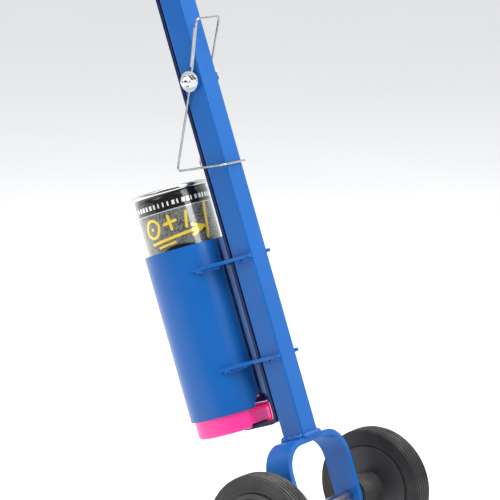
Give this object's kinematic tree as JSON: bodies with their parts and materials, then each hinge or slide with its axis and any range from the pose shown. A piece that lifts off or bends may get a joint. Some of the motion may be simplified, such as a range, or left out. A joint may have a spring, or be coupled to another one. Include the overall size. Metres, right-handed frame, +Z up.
{
  "type": "line striping machine",
  "caption": "Hand-pushed line striper: a leaning square tube with a grip and trigger, a pull bar, an inverted aerosol can in a tubular holder, and two wheels under an arch.",
  "frame": {"origin": "middle of the hand grip's round sleeve, on its axis", "axes": "+X forward along travel, +Y to the machine's left, +Z up; the hand grip's axis runs along X and the wheels' axle along Y, and the handle tube leans back 19.8 degrees from Z"},
  "size_m": [0.514, 0.206, 0.9012],
  "materials": {
    "blue_paint": "glossy blue powder coat",
    "bright_steel": "zinc plated",
    "chrome": "bright plated",
    "tinplate": "bare tinplate",
    "can_print": "glossy litho print",
    "pink_plastic": "fluorescent moulded",
    "black_plastic": "moulded",
    "nylon": "natural nylon",
    "grip_rubber": "matt moulded rubber",
    "tyre_rubber": "solid rubber"
  },
  "bodies": {
    "frame": {"handle_tube": "blue_paint", "tube_cap": "black_plastic", "grip_tube": "blue_paint", "rubber_grip": "grip_rubber", "trigger_bolt": "bright_steel", "trigger_nut": "bright_steel", "trigger_washers": "bright_steel", "return_spring": "bright_steel", "spring_lug": "blue_paint", "spring_screw": "bright_steel", "lower_guide": "blue_paint", "upper_guide": "blue_paint", "guide_rivets": "bright_steel", "can_holder": "blue_paint", "can_stops": "blue_paint", "lower_bracket_plate": "blue_paint", "upper_bracket_plate": "blue_paint", "axle_arch": "blue_paint", "wheel_axle": "bright_steel", "axle_washers": "bright_steel", "left_dust_cap": "bright_steel", "right_dust_cap": "bright_steel", "bail_bolt": "bright_steel", "dome_nut": "chrome", "bail_washers": "bright_steel"},
    "left_wheel": {"left_wheel_hub": "black_plastic", "left_tyre": "tyre_rubber", "left_wheel_bush": "nylon"},
    "right_wheel": {"right_wheel_hub": "black_plastic", "right_tyre": "tyre_rubber", "right_wheel_bush": "nylon"},
    "bar": {"pull_bar": "blue_paint", "foot_pad": "grip_rubber", "clevis_pin": "bright_steel", "clevis_clip": "bright_steel"},
    "trigger": {"trigger_lever": "blue_paint"},
    "bail": {"bail_wire": "bright_steel"},
    "can": {"can_shell": "can_print", "can_base": "tinplate", "valve_cup": "tinplate", "mixing_ball": "bright_steel", "spray_cap": "pink_plastic"},
    "valve": {"valve_stem": "nylon"},
    "tab": {"spray_tab": "pink_plastic", "spray_nozzle": "nylon"}
  },
  "joints": [
    {"name": "left_wheel_spin", "type": "hinge", "parent": "frame", "child": "left_wheel", "pos_m": [0.40203, 0.084, -0.81668], "axis": [0, 1, 0], "continuous": true},
    {"name": "right_wheel_spin", "type": "hinge", "parent": "frame", "child": "right_wheel", "pos_m": [0.40203, -0.084, -0.81668], "axis": [0, 1, 0], "continuous": true},
    {"name": "bar_slide", "type": "slide", "parent": "frame", "child": "bar", "axis": [-0.3387, 0, 0.9409], "range_m": [0, 0.005], "stiffness_N_per_m": 800, "springref_m": -0.012, "deforming": ["return_spring"]},
    {"name": "trigger_squeeze", "type": "hinge", "parent": "frame", "child": "trigger", "pos_m": [0.12595, 0, -0.04987], "axis": [0, 1, 0], "range_deg": [0, 16.74]},
    {"name": "bail_swing", "type": "hinge", "parent": "frame", "child": "bail", "pos_m": [0.27229, 0, -0.45633], "axis": [0, -1, 0], "range_deg": [0, 15.5]},
    {"name": "can_lift", "type": "slide", "parent": "frame", "child": "can", "axis": [-0.3387, 0, 0.9409], "range_m": [0, 0.0065]},
    {"name": "tab_press", "type": "hinge", "parent": "can", "child": "tab", "pos_m": [0.28569, 0, -0.76663], "axis": [0, -1, 0], "range_deg": [0, 7]},
    {"name": "stem_press", "type": "slide", "parent": "can", "child": "valve", "axis": [-0.3387, 0, 0.9409], "range_m": [0, 0.0035]}
  ],
  "couplings": [
    {"joint": "trigger_squeeze", "follows": "bar_slide", "rad_per_m": 58.405},
    {"joint": "tab_press", "follows": "bar_slide", "rad_per_m": 24.4},
    {"joint": "stem_press", "follows": "bar_slide", "ratio": 0.65}
  ]
}
